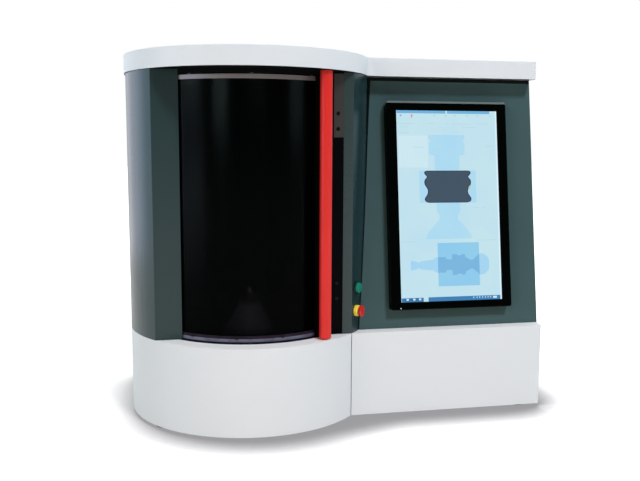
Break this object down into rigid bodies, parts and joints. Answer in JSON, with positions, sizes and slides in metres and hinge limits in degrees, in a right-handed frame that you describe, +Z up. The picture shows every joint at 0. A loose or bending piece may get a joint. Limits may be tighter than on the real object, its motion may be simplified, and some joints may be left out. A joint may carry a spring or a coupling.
{
  "type": "optical shaft measuring machine",
  "caption": "Bench machine for optical shaft measuring: drum with a sliding curved glass door, box with an upright touch screen on a sloping panel, controls between them.",
  "frame": {"origin": "middle of the footprint at the soles of the feet", "axes": "+X to the right along the front, drum on the left; -Y to the front; +Z up. The drum's axis stands at x = -0.212, y = 0"},
  "size_m": [1.026, 0.602, 0.876],
  "materials": {
    "white_cover": "satin white powder coat",
    "body_paint": "fine dark grey-green powder coat",
    "smoked_glass": "dark smoked, polished",
    "black_metal": "satin black",
    "rail_metal": "dark anodised",
    "red_grip": "smooth red coat",
    "bracket_metal": "dark brown-grey",
    "machined_steel": "ground steel",
    "cast_body": "painted grey casting",
    "anodised": "clear anodised",
    "black_anodised": "black anodised",
    "galvanised": "zinc plated sheet",
    "rubber_foot": "matt rubber",
    "belt_rubber": "matt rubber",
    "black_plastic": "fine textured black",
    "screen_glass": "lit display",
    "green_cap": "clear green lens",
    "bezel_metal": "satin ring",
    "yellow_collar": "yellow",
    "red_mushroom": "red",
    "lens_glass": "coated optical glass",
    "green_board": "grey coated casing"
  },
  "bodies": {
    "machine": {"machine_feet": "rubber_foot", "base_plate": "galvanised", "machine_bed": "cast_body", "drum_base_cover": "white_cover", "box_base_cover": "white_cover", "top_lid": "white_cover", "roof_plate": "galvanised", "left_shell": "body_paint", "control_wall": "body_paint", "door_post": "black_metal", "post_bracket": "bracket_metal", "front_panel": "body_paint", "right_side_panel": "body_paint", "rear_panel": "body_paint", "connection_plate": "black_anodised", "power_inlet": "black_plastic", "door_tracks": "rail_metal", "chamber_floor": "black_anodised", "column": "cast_body", "guide_rails": "machined_steel", "linear_scale": "anodised", "screw_bearing_blocks": "anodised", "lift_motor": "black_metal", "headstock_housing": "cast_body", "spindle_motor": "black_metal", "drive_belt": "belt_rubber", "monitor_housing": "black_plastic", "touch_screen": "screen_glass", "start_button_bezel": "bezel_metal", "estop_collar": "yellow_collar", "equipment_frame": "galvanised", "industrial_computer": "green_board", "control_modules": "galvanised", "fan_frame": "black_plastic"},
    "door": {"door_glass": "smoked_glass", "door_top_rail": "rail_metal", "door_foot_rail": "rail_metal", "door_stile": "black_metal", "door_handle": "red_grip", "door_rollers": "machined_steel"},
    "carriage": {"carriage_yoke": "anodised", "ball_nut": "machined_steel", "carriage_blocks": "machined_steel", "camera_housing": "black_anodised", "lamp_housing": "black_anodised", "optic_lenses": "lens_glass"},
    "screw": {"ball_screw": "machined_steel"},
    "spindle_unit": {"spindle": "machined_steel", "lower_centre": "machined_steel"},
    "drive_pulley": {"motor_pulley": "anodised"},
    "tailstock": {"tailstock_arm": "cast_body"},
    "tail_clamp": {"clamp_lever": "black_plastic"},
    "quill": {"tailstock_quill": "machined_steel"},
    "live_centre": {"upper_centre": "machined_steel"},
    "quill_handle": {"quill_lever": "black_plastic"},
    "start_cap": {"start_button": "green_cap"},
    "stop_plunger": {"estop_plunger": "black_plastic"},
    "stop_head": {"estop_head": "red_mushroom"},
    "mains_rocker": {"power_switch": "black_plastic"},
    "fan": {"fan_rotor": "black_plastic"}
  },
  "joints": [
    {"name": "door_slide", "type": "hinge", "parent": "machine", "child": "door", "pos_m": [-0.212, 0, 0.5], "axis": [0, 0, 1], "range_deg": [-75, 0]},
    {"name": "carriage_lift", "type": "slide", "parent": "machine", "child": "carriage", "axis": [0, 0, 1], "range_m": [0, 0.25]},
    {"name": "screw_turn", "type": "hinge", "parent": "machine", "child": "screw", "pos_m": [-0.212, 0.226, 0.45], "axis": [0, 0, 1], "range_deg": [0, 4500]},
    {"name": "spindle_turn", "type": "hinge", "parent": "machine", "child": "spindle_unit", "pos_m": [-0.212, 0, 0.2], "axis": [0, 0, 1], "continuous": true},
    {"name": "motor_pulley_turn", "type": "hinge", "parent": "machine", "child": "drive_pulley", "pos_m": [-0.212, -0.17, 0.042], "axis": [0, 0, 1], "continuous": true},
    {"name": "tailstock_slide", "type": "slide", "parent": "machine", "child": "tailstock", "axis": [0, 0, 1], "range_m": [-0.19, 0.05]},
    {"name": "clamp_lever_turn", "type": "hinge", "parent": "tailstock", "child": "tail_clamp", "pos_m": [-0.176, 0.058, 0.63], "axis": [1, 0, 0], "range_deg": [0, 60]},
    {"name": "quill_slide", "type": "slide", "parent": "tailstock", "child": "quill", "axis": [0, 0, 1], "range_m": [0, 0.006], "stiffness_N_per_m": 2500, "springref_m": -0.003},
    {"name": "live_centre_spin", "type": "hinge", "parent": "quill", "child": "live_centre", "pos_m": [-0.212, 0, 0.59], "axis": [0, 0, 1], "continuous": true},
    {"name": "quill_lever_turn", "type": "hinge", "parent": "tailstock", "child": "quill_handle", "pos_m": [-0.248, 0.0143, 0.66], "axis": [1, 0, 0], "range_deg": [-60, 0]},
    {"name": "start_button_press", "type": "slide", "parent": "machine", "child": "start_cap", "axis": [-0.805, 0.5932, 0], "range_m": [0, 0.003], "stiffness_N_per_m": 400, "springref_m": -0.001},
    {"name": "estop_press", "type": "slide", "parent": "machine", "child": "stop_plunger", "axis": [-0.805, 0.5932, 0], "range_m": [0, 0.0035]},
    {"name": "estop_twist", "type": "hinge", "parent": "stop_plunger", "child": "stop_head", "pos_m": [0.02951, -0.17797, 0.2655], "axis": [0.805, -0.5932, 0], "range_deg": [0, 45], "stiffness_Nm_per_rad": 0.05},
    {"name": "mains_rocker_tip", "type": "hinge", "parent": "machine", "child": "mains_rocker", "pos_m": [0.25, 0.2855, 0.303], "axis": [1, 0, 0], "range_deg": [-20, 0]},
    {"name": "fan_spin", "type": "hinge", "parent": "machine", "child": "fan", "pos_m": [0.402, 0.275, 0.64], "axis": [0, 1, 0], "continuous": true}
  ],
  "couplings": [
    {"joint": "screw_turn", "follows": "carriage_lift", "rad_per_m": 314.16},
    {"joint": "motor_pulley_turn", "follows": "spindle_turn", "ratio": 1.6667},
    {"joint": "quill_lever_turn", "follows": "quill_slide", "rad_per_m": -166.67}
  ]
}
